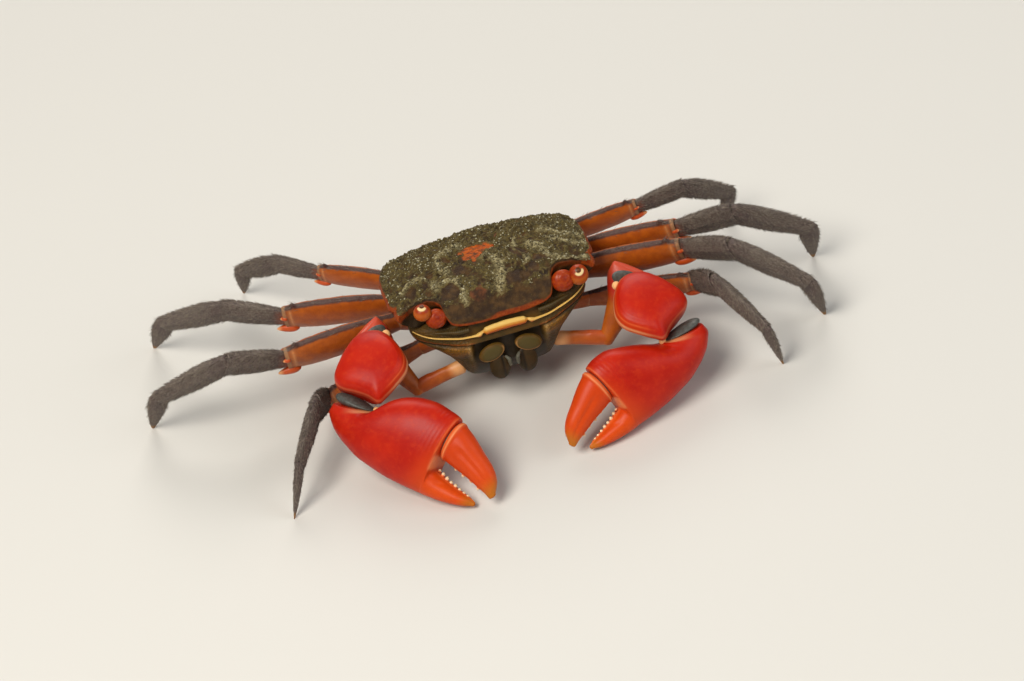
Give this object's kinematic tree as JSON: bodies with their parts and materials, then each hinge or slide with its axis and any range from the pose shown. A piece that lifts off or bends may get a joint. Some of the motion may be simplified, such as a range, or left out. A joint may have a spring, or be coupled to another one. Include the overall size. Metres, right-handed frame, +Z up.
{
  "type": "mangrove crab",
  "caption": "Still, life-size mangrove crab with red claws and a silt-covered dark shell, standing on its leg tips with both claws held low in front.",
  "frame": {"origin": "middle of the whole outline, on the floor it stands on", "axes": "+X towards the animal's own left, -Y the way it faces, +Z up"},
  "size_m": [0.1156, 0.0722, 0.0242],
  "materials": {
    "shell": "dark olive-brown shell with pale silt lying in the furrows",
    "underside": "smooth olive-brown shell with gold ridges",
    "rim_gold": "smooth cream-gold shell",
    "claw_red": "smooth glossy red shell, finely grained",
    "finger_orange": "smooth glossy orange shell",
    "leg_orange": "satin orange-brown shell, darker along the upper edge",
    "leg_dark": "dull purple-grey shell under short bristles",
    "eye": "wet gloss"
  },
  "bodies": {
    "root": {"abdomen": "underside", "antenna_l": "finger_orange", "antenna_r": "finger_orange", "carapace": "shell", "claw_l_base": "leg_orange", "claw_l_carpus": "claw_red", "claw_l_finger": "finger_orange", "claw_l_merus": "leg_orange", "claw_l_palm": "claw_red", "claw_r_base": "leg_orange", "claw_r_carpus": "claw_red", "claw_r_finger": "finger_orange", "claw_r_merus": "leg_orange", "claw_r_palm": "claw_red", "eye_l": "eye", "eye_r": "eye", "leg_l2_base": "leg_orange", "leg_l2_carpus": "leg_dark", "leg_l2_dactyl": "leg_dark", "leg_l2_merus": "leg_orange", "leg_l2_propodus": "leg_dark", "leg_l3_base": "leg_orange", "leg_l3_carpus": "leg_dark", "leg_l3_dactyl": "leg_dark", "leg_l3_merus": "leg_orange", "leg_l3_propodus": "leg_dark", "leg_l4_base": "leg_orange", "leg_l4_carpus": "leg_dark", "leg_l4_dactyl": "leg_dark", "leg_l4_merus": "leg_orange", "leg_l4_propodus": "leg_dark", "leg_l5_base": "leg_orange", "leg_l5_carpus": "leg_dark", "leg_l5_dactyl": "leg_dark", "leg_l5_merus": "leg_orange", "leg_l5_propodus": "leg_dark", "leg_r2_base": "leg_orange", "leg_r2_carpus": "leg_dark", "leg_r2_dactyl": "leg_dark", "leg_r2_merus": "leg_orange", "leg_r2_propodus": "leg_dark", "leg_r3_base": "leg_orange", "leg_r3_carpus": "leg_dark", "leg_r3_dactyl": "leg_dark", "leg_r3_merus": "leg_orange", "leg_r3_propodus": "leg_dark", "leg_r4_base": "leg_orange", "leg_r4_carpus": "leg_dark", "leg_r4_dactyl": "leg_dark", "leg_r4_merus": "leg_orange", "leg_r4_propodus": "leg_dark", "leg_r5_base": "leg_orange", "leg_r5_carpus": "leg_dark", "leg_r5_dactyl": "leg_dark", "leg_r5_merus": "leg_orange", "leg_r5_propodus": "leg_dark", "maxilliped_l": "underside", "maxilliped_r": "underside", "mouth_rim": "rim_gold", "thorax": "underside"}
  },
  "joints": []
}
